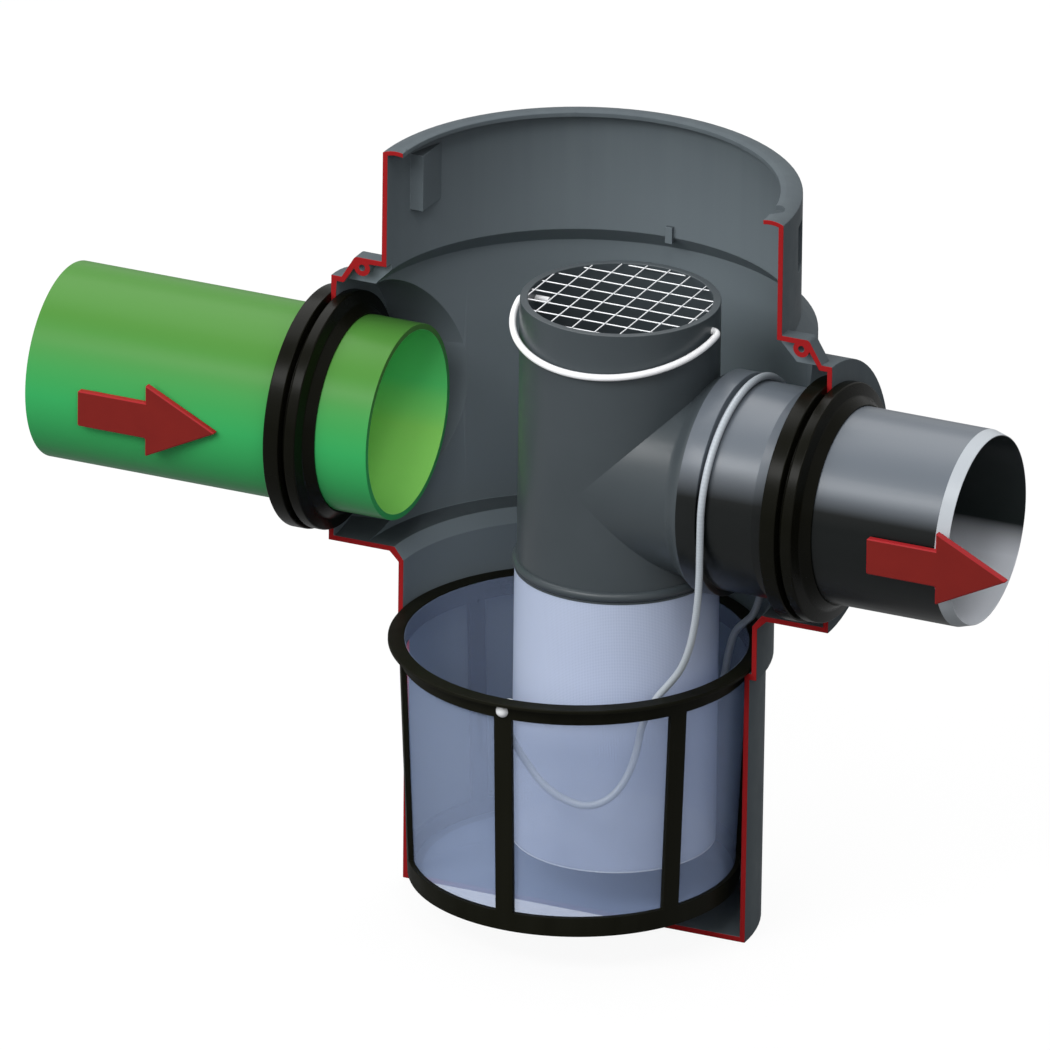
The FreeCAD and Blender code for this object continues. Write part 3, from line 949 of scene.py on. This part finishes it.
def turned(
    profile: Profile, centre: Vector, bevel: float, segments: int = 2, steps: int = 160
) -> bmesh.types.BMesh:
    """Closed ring turned from an outline about a line along X.

    Args:
        profile: Outline as (distance along X, radius) points, in order round the section.
        centre: Point on the line from which the outline is measured.
        bevel: Width of the rounding of its corners, in metres.
        segments: Faces across the rounding.
        steps: Steps in the full turn.

    Returns:
        The new bmesh.
    """
    shape = bmesh.new()
    ring = [shape.verts.new(centre + Vector((along, 0.0, radius))) for along, radius in profile]
    edges = [shape.edges.new((ring[index - 1], ring[index])) for index in range(len(ring))]
    bmesh.ops.spin(
        shape,
        geom=[*ring, *edges],
        cent=centre,
        axis=Vector((1.0, 0.0, 0.0)),
        dvec=Vector(),
        angle=math.tau,
        steps=steps,
        space=Matrix.Identity(4),
        use_merge=True,
        use_duplicate=False,
    )
    bmesh.ops.remove_doubles(shape, verts=shape.verts, dist=SAME_SPUN_POINT)
    bmesh.ops.recalc_face_normals(shape, faces=shape.faces)
    round_corners(shape, bevel, segments)
    return shape


class SubAssembly(ABC):
    """A sub-assembly of the filter, which makes its own pieces."""

    @abstractmethod
    def build(self, shop: Workshop) -> None:
        """Makes the pieces.

        Args:
            shop: Workshop that finishes the pieces.
        """


@dataclass
class Shaft(SubAssembly):
    """The moulded shaft half, with its corners slightly rounded."""

    edge_rounding: float = 0.0007
    least_outward: float = -0.05

    def mark_inside(self, shell: bmesh.types.BMesh) -> None:
        """Sets the face attribute inside to 1 on the faces that look towards the shaft's axis.

        Args:
            shell: The shell's bmesh.
        """
        layer = shell.faces.layers.float.new("inside")
        for face in shell.faces:
            centre = face.calc_center_median()
            outwards = Vector((centre.x, centre.y, 0.0)).normalized()
            face[layer] = float(face.normal.dot(outwards) < self.least_outward)

    def build(self, shop: Workshop) -> None:
        """Makes the shaft's shell.

        Args:
            shop: Workshop that finishes the pieces.
        """
        shell = cad_copy("housing", self.edge_rounding)
        self.mark_inside(shell)
        shop.piece(shell, "shaft_shell", shop.palette.shaft, ["housing"])


@dataclass
class PipeEnds(SubAssembly):
    """The two pipe ends, turned with slightly rounded edges."""

    inlet_wall: float = 0.0064
    outlet_wall: float = 0.0049
    chamfer_edge: float = 0.0011
    inlet_rounding: float = 0.0005
    outlet_rounding: float = 0.00025
    inlet_sharp_deg: float = 40.0
    outlet_sharp_deg: float = 14.0

    def build(self, shop: Workshop) -> None:
        """Makes both pipe ends.

        Args:
            shop: Workshop that finishes the pieces.
        """
        centre = Vector((0.0, 0.0, PIPE_AXIS_Z))
        low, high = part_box("inlet_pipe")
        radius = high.z - PIPE_AXIS_Z
        bore = radius - self.inlet_wall
        outline = [(low.x, bore), (high.x, bore), (high.x, radius), (low.x, radius)]
        inlet = turned(outline, centre, self.inlet_rounding)
        shop.piece(
            inlet,
            "green_pipe_end",
            shop.palette.green_pipe,
            ["inlet_pipe"],
            sharp_deg=self.inlet_sharp_deg,
        )
        low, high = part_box("outlet_pipe")
        radius = high.z - PIPE_AXIS_Z
        bore = radius - self.outlet_wall
        outline = [
            (low.x, bore),
            (high.x, bore),
            (high.x, bore + self.chamfer_edge),
            (high.x - SPIGOT_CHAMFER_LENGTH, radius),
            (low.x, radius),
        ]
        outlet = turned(outline, centre, self.outlet_rounding)
        shop.piece(
            outlet,
            "dark_pipe_end",
            shop.palette.dark_pipe,
            ["outlet_pipe"],
            sharp_deg=self.outlet_sharp_deg,
        )


@dataclass
class LipSeals(SubAssembly):
    """The two rubber lip seals, turned with the soft edges of a moulding."""

    bore: float = 0.10015
    groove_radius: float = 0.11185
    collar_wall: float = 0.0056
    flange_radius: float = 0.124
    flange_width: float = 0.0165
    band_radius: float = 0.122
    band_width: float = 0.0115
    lip_width: float = 0.013
    lip_root_width: float = 0.0035
    lip_root_radius: float = 0.109
    lip_thickness: float = 0.0016
    lead_in: float = 0.006
    lead_in_width: float = 0.01125
    edge_rounding: float = 0.0014
    rounding_segments: int = 3
    sharp_deg: float = 50.0

    def outline(self) -> list[tuple[float, float]]:
        """Section of a seal.

        Returns:
            (distance from its collar's wall, radius) points, in order round the section.
        """
        band_end = self.collar_wall + self.band_width
        lip_end = band_end + self.lip_width
        return [
            (-self.flange_width, self.bore + self.lead_in),
            (-self.flange_width, self.flange_radius),
            (0.0, self.flange_radius),
            (0.0, self.groove_radius),
            (self.collar_wall, self.groove_radius),
            (self.collar_wall, self.band_radius),
            (band_end, self.band_radius),
            (band_end + self.lip_root_width, self.lip_root_radius),
            (lip_end, self.bore + self.lip_thickness),
            (lip_end, self.bore),
            (self.lead_in_width - self.flange_width, self.bore),
        ]

    def build(self, shop: Workshop) -> None:
        """Makes both seals and finishes the hidden ring in the tee's socket.

        Args:
            shop: Workshop that finishes the pieces.
        """
        for node, name in (("inlet_seal", "inlet_lip_seal"), ("outlet_seal", "outlet_lip_seal")):
            centre = Vector((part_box(node)[0].x + self.flange_width, 0.0, PIPE_AXIS_Z))
            ring = turned(self.outline(), centre, self.edge_rounding, self.rounding_segments)
            shop.piece(
                ring, name, shop.palette.seal, [node], sharp_deg=self.sharp_deg
            )
        shop.dress("tee_socket_seal", shop.palette.seal)


@dataclass
class Standpipe(SubAssembly):
    """The tee with its grid, bail, sleeve and sleeve collar."""

    edge_rounding: float = 0.0008
    corner_deg: float = 40.0
    bail_rounding: float = 0.0008
    bail_corner_deg: float = 60.0
    flare_start: float = 0.138
    flare_end: float = 0.157
    ring_tolerance: float = 1e-5
    soft_turn_rad: float = 0.7

    def soften_flare(self, tee: bmesh.types.BMesh) -> None:
        """Smooths the two outer rings where the branch's flare starts and ends.

        Args:
            tee: The tee's bmesh.
        """
        for x in (self.flare_start, self.flare_end):
            for edge in tee.edges:
                on_ring = all(abs(vert.co.x - x) < self.ring_tolerance for vert in edge.verts)
                if on_ring and edge.calc_face_angle(math.tau) < self.soft_turn_rad:
                    edge.smooth = True

    def build(self, shop: Workshop) -> None:
        """Makes the tee and what it carries.

        Args:
            shop: Workshop that finishes the pieces.
        """
        tee = cad_copy(
            "tee_body", self.edge_rounding, corner_deg=self.corner_deg, inside=False
        )
        self.soften_flare(tee)
        shop.piece(tee, "overflow_tee", shop.palette.tee, ["tee_body"])
        wires = cad_copy("overflow_grid")
        shop.piece(wires, "grid_wires", shop.palette.grid, ["overflow_grid"])
        bail = cad_copy("tee_bail", self.bail_rounding, corner_deg=self.bail_corner_deg)
        shop.piece(bail, "wire_bail", shop.palette.bail, ["tee_bail"], Body.BAIL)
        sleeve = cad_copy("filter_sleeve")
        shop.piece(sleeve, "mesh_sleeve", shop.palette.sleeve, ["filter_sleeve"])
        disc = cad_copy("sleeve_floor")
        nodes = ["sleeve_floor"]
        shop.piece(disc, "mesh_sleeve_floor", shop.palette.sleeve_disc, nodes)
        shop.dress("sleeve_collar", shop.palette.tee)


@dataclass
class LeafBasket(SubAssembly):
    """The lift-out basket: frame, mesh wall and mesh floor, and the two cord anchors."""

    edge_rounding: float = 0.0006
    button_rounding: float = 0.0004
    button_corner_deg: float = 50.0

    def build(self, shop: Workshop) -> None:
        """Makes the basket's pieces.

        Args:
            shop: Workshop that finishes the pieces.
        """
        cage = cad_copy("basket_frame", self.edge_rounding)
        shop.piece(cage, "basket_cage", shop.palette.basket, ["basket_frame"])
        wall = cad_copy("basket_mesh")
        nodes = ["basket_mesh"]
        shop.piece(wall, "basket_wall_mesh", shop.palette.basket_mesh, nodes)
        disc = cad_copy("basket_floor")
        nodes = ["basket_floor"]
        shop.piece(disc, "basket_floor_mesh", shop.palette.basket_disc, nodes)
        buttons = (("cord_anchor_front", "front_button"), ("cord_anchor_rear", "rear_button"))
        for node, name in buttons:
            button = cad_copy(node, self.button_rounding, corner_deg=self.button_corner_deg)
            shop.piece(button, name, shop.palette.anchor, [node])


@dataclass
class PullCord(SubAssembly):
    """The cord that lifts the basket, from its front anchor over the branch to its rear anchor."""

    diameter: float = 0.0075
    length: float = CORD_LENGTH
    rim_steps: int = 5
    curve_order: int = 3
    steps_per_point: int = 10
    branch_clearance_radius: float = 0.1113
    branch_turn_deg: float = 30.0
    branch_x: tuple[float, ...] = (0.1835, 0.184, 0.1855, 0.1875, 0.188, 0.187, 0.1855, 0.1835)
    front_run: tuple[Point, ...] = (
        (0.0, -0.163, 0.2725),
        (0.0, -0.163, 0.2585),
        (0.0045, -0.155, 0.24),
        (0.015, -0.151, 0.222),
        (0.032, -0.149, 0.2),
        (0.054, -0.1445, 0.1855),
        (0.077, -0.138, 0.1795),
        (0.097, -0.128, 0.188),
        (0.109, -0.114, 0.208),
        (0.1155, -0.105, 0.236),
        (0.117, -0.099, 0.262),
        (0.129, -0.094, 0.29),
        (0.146, -0.095, 0.311),
        (0.16, -0.0985, 0.331),
        (0.171, -0.103, 0.358),
        (0.178, -0.106, 0.391),
        (0.1825, -0.1095, 0.428),
    )
    rear_run: tuple[Point, ...] = (
        (0.18, 0.105, 0.412),
        (0.165, 0.091, 0.366),
        (0.159, 0.084, 0.322),
        (0.141, 0.092, 0.304),
        (0.128, 0.101, 0.29),
        (0.119, 0.108, 0.266),
        (0.113, 0.112, 0.238),
        (0.106, 0.119, 0.212),
        (0.09, 0.131, 0.192),
        (0.066, 0.141, 0.182),
        (0.04, 0.148, 0.187),
        (0.02, 0.153, 0.212),
        (0.007, 0.158, 0.24),
        (0.0, 0.163, 0.259),
        (0.0, 0.163, 0.2725),
    )

    def branch_run(self) -> list[Point]:
        """Run of the cord over the branch, evenly spaced round it.

        Returns:
            The control points.
        """
        half_turn = math.radians(self.branch_turn_deg / 2)
        corner_radius = self.branch_clearance_radius / math.cos(half_turn)
        points = []
        for index, x in enumerate(self.branch_x):
            angle = math.radians(self.branch_turn_deg * index) - half_turn
            rise = corner_radius * math.sin(angle)
            points.append((x, -corner_radius * math.cos(angle), PIPE_AXIS_Z + rise))
        return points

    def build(self, shop: Workshop) -> None:
        """Args:
            shop: Workshop that finishes the pieces.
        """
        points = [*self.front_run, *self.branch_run(), *self.rear_run]
        curve = bpy.data.curves.new("basket_cord", "CURVE")
        curve.dimensions = "3D"
        curve.bevel_depth = self.diameter / 2
        curve.bevel_resolution = self.rim_steps
        curve.use_fill_caps = True
        line = curve.splines.new("NURBS")
        line.points.add(len(points) - 1)
        for control, point in zip(line.points, points):
            control.co = (*point, 1.0)
        line.order_u = self.curve_order
        line.use_endpoint_u = True
        line.resolution_u = self.steps_per_point
        line.use_smooth = True
        curve.materials.append(shop.material(shop.palette.cord))
        cord = bpy.data.objects.new("basket_cord", curve)
        bpy.context.scene.collection.objects.link(cord)
        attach(cord, Body.FILTER.value)
        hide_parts("pull_cord")
        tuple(self.front_run[0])
        log.info("basket_cord follows %d points", len(points))


@dataclass
class FlowArrows(SubAssembly):
    """The two flat flow arrows in front of the pipes, with bevelled rims."""

    rim_drop: float = 0.0012
    rim_segments: int = 1
    sharp_deg: float = 20.0

    def build(self, shop: Workshop) -> None:
        """Makes both arrows.

        Args:
            shop: Workshop that finishes the pieces.
        """
        plates = (("inlet_arrow", "inlet_flow_arrow"), ("outlet_arrow", "outlet_flow_arrow"))
        for node, name in plates:
            plate = cad_copy(node, self.rim_drop, self.rim_segments)
            shop.piece(
                plate, name, shop.palette.arrow, [node], sharp_deg=self.sharp_deg
            )


@dataclass(frozen=True)
class Viewpoint:
    """The photograph's viewing angle, seen by a far camera with a long lens."""

    azimuth_deg: float = 24.458
    elevation_deg: float = 22.666
    roll_deg: float = 0.707
    frame_width: float = 1.05
    aim_height: float = 0.4
    aim_right: float = -0.05295
    aim_up: float = 0.01787
    lens_mm: float = 1200.0
    sensor_mm: float = 36.0
    clip_share: float = 3.0

    def build(self) -> None:
        """Makes the camera and sets it as the scene's."""
        azimuth = math.radians(self.azimuth_deg)
        elevation = math.radians(self.elevation_deg)
        roll = math.radians(self.roll_deg)
        level = Vector((math.cos(azimuth), math.sin(azimuth), 0.0))
        outwards = Vector((math.sin(azimuth), -math.cos(azimuth), 0.0))
        back = outwards * math.cos(elevation) + Vector((0.0, 0.0, math.sin(elevation)))
        upright = back.cross(level)
        right = level * math.cos(roll) + upright * math.sin(roll)
        above = upright * math.cos(roll) - level * math.sin(roll)
        aim = Vector((0.0, 0.0, self.aim_height))
        aim += right * self.aim_right + above * self.aim_up
        distance = self.frame_width * self.lens_mm / self.sensor_mm
        turn = Matrix((right, above, back)).transposed().to_4x4()
        data = bpy.data.cameras.new("viewpoint")
        data.lens = self.lens_mm
        data.sensor_width = self.sensor_mm
        data.clip_end = self.clip_share * distance
        camera = bpy.data.objects.new("viewpoint", data)
        camera.matrix_world = Matrix.Translation(aim + back * distance) @ turn
        bpy.context.scene.collection.objects.link(camera)
        bpy.context.scene.camera = camera


@dataclass(frozen=True)
class SoftBox:
    """One soft area light, aimed at a point."""

    name: str
    place: Point
    aim: Point
    width: float
    depth: float
    power: float
    mirrored: bool = True

    def build(self) -> None:
        """Makes the light; one that isn't mirrored leaves no highlight."""
        data = bpy.data.lights.new(self.name, "AREA")
        data.shape = "RECTANGLE"
        data.size = self.width
        data.size_y = self.depth
        data.energy = self.power
        light = bpy.data.objects.new(self.name, data)
        light.location = self.place
        light.visible_glossy = self.mirrored
        light.rotation_mode = "QUATERNION"
        ray = Vector(self.aim) - Vector(self.place)
        light.rotation_quaternion = ray.to_track_quat("-Z", "Y")
        bpy.context.scene.collection.objects.link(light)


@dataclass
class Studio:
    """Plain pale floor, even surroundings and soft lights."""

    floor_size: float = 40.0
    floor_colour: Colour = Colour(250, 250, 250)
    bounce_colour: Colour = Colour(84, 86, 88)
    floor_roughness: float = 0.9
    floor_glow: float = 0.92
    reflected_share: float = 0.12
    surround_strength: float = 0.52
    lights: tuple[SoftBox, ...] = field(
        default_factory=lambda: (
            SoftBox("long_key", (-0.8, -2.8, 3.0), (0.0, 0.0, 0.4), 2.8, 0.9, 66.0),
            SoftBox("high_right", (0.94, -1.75, 3.48), (0.45, 0.0, 0.5), 0.6, 0.9, 16.0),
            SoftBox("rear_top", (-1.3, 1.2, 3.4), (0.0, 0.0, 0.5), 3.2, 2.4, 60.0),
            SoftBox("left_fill", (-2.3, -3.1, 2.2), (0.0, 0.0, 0.4), 2.4, 1.8, 50.0, False),
            SoftBox("right_fill", (1.9, -3.5, 2.2), (0.0, 0.0, 0.4), 2.2, 1.6, 24.0, False),
            SoftBox("rear_fill", (0.6, 3.6, 2.0), (0.0, 0.0, 0.4), 2.4, 1.8, 40.0, False),
        )
    )

    def floor_material(self) -> bpy.types.Material:
        """Floor that keeps shadows, looks white to the camera, and pale in reflections.

        Returns:
            The new material.
        """
        shading = Shading("studio_floor")
        glow = shading.add("ShaderNodeEmission")
        path = shading.add("ShaderNodeLightPath")
        reflected = shading.math("MULTIPLY", path.outputs["Is Glossy Ray"], self.reflected_share)
        seen = shading.math("MAXIMUM", path.outputs["Is Camera Ray"], reflected)
        seen = shading.math("MAXIMUM", seen, path.outputs["Is Transmission Ray"])
        colour = shading.colour_between(seen, self.bounce_colour, self.floor_colour)
        shading.set(Base_Color=colour, Roughness=self.floor_roughness, Specular_IOR_Level=0.0)
        share = shading.math("MULTIPLY", seen, self.floor_glow)
        mix = shading.add("ShaderNodeMixShader")
        shading.link(share, mix.inputs[0])
        shading.link(shading.shader.outputs["BSDF"], mix.inputs[1])
        shading.link(glow.outputs["Emission"], mix.inputs[2])
        shading.link(mix.outputs["Shader"], shading.output.inputs["Surface"])
        return shading.material

    def surround(self) -> None:
        """Makes the world: white to the camera and through the meshes, and dimmer as a light."""
        world = bpy.data.worlds.new("surroundings")
        world.use_nodes = True
        nodes = world.node_tree.nodes
        path = nodes.new("ShaderNodeLightPath")
        seen = nodes.new("ShaderNodeMath")
        level = nodes.new("ShaderNodeMath")
        seen.operation = "MAXIMUM"
        level.operation = "MAXIMUM"
        level.inputs[1].default_value = self.surround_strength
        background = nodes["Background"]
        background.inputs["Color"].default_value = (1.0, 1.0, 1.0, 1.0)
        links = world.node_tree.links
        links.new(path.outputs["Is Camera Ray"], seen.inputs[0])
        links.new(path.outputs["Is Transmission Ray"], seen.inputs[1])
        links.new(seen.outputs[0], level.inputs[0])
        links.new(level.outputs[0], background.inputs["Strength"])
        bpy.context.scene.world = world

    def build(self) -> None:
        """Makes the floor, the surroundings and the lights."""
        shape = bmesh.new()
        bmesh.ops.create_grid(shape, x_segments=1, y_segments=1, size=self.floor_size / 2)
        mesh = bpy.data.meshes.new("studio_floor")
        shape.to_mesh(mesh)
        shape.free()
        mesh.materials.append(self.floor_material())
        floor = bpy.data.objects.new("studio_floor", mesh)
        bpy.context.scene.collection.objects.link(floor)
        self.surround()
        for light in self.lights:
            light.build()
        bpy.context.scene.view_settings.view_transform = "Standard"


def main() -> None:
    """Builds the camera, the cord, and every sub-assembly and the studio."""
    logging.basicConfig(level=logging.INFO, format="%(name)s: %(message)s")
    shop = Workshop(Palette())
    Viewpoint().build()
    parts: list[SubAssembly] = [
        PullCord(),
        Shaft(),
        PipeEnds(),
        LipSeals(),
        Standpipe(),
        LeafBasket(),
        FlowArrows(),
    ]
    for part in parts:
        part.build(shop)
    Studio().build()


if __name__ == "__main__":
    main()
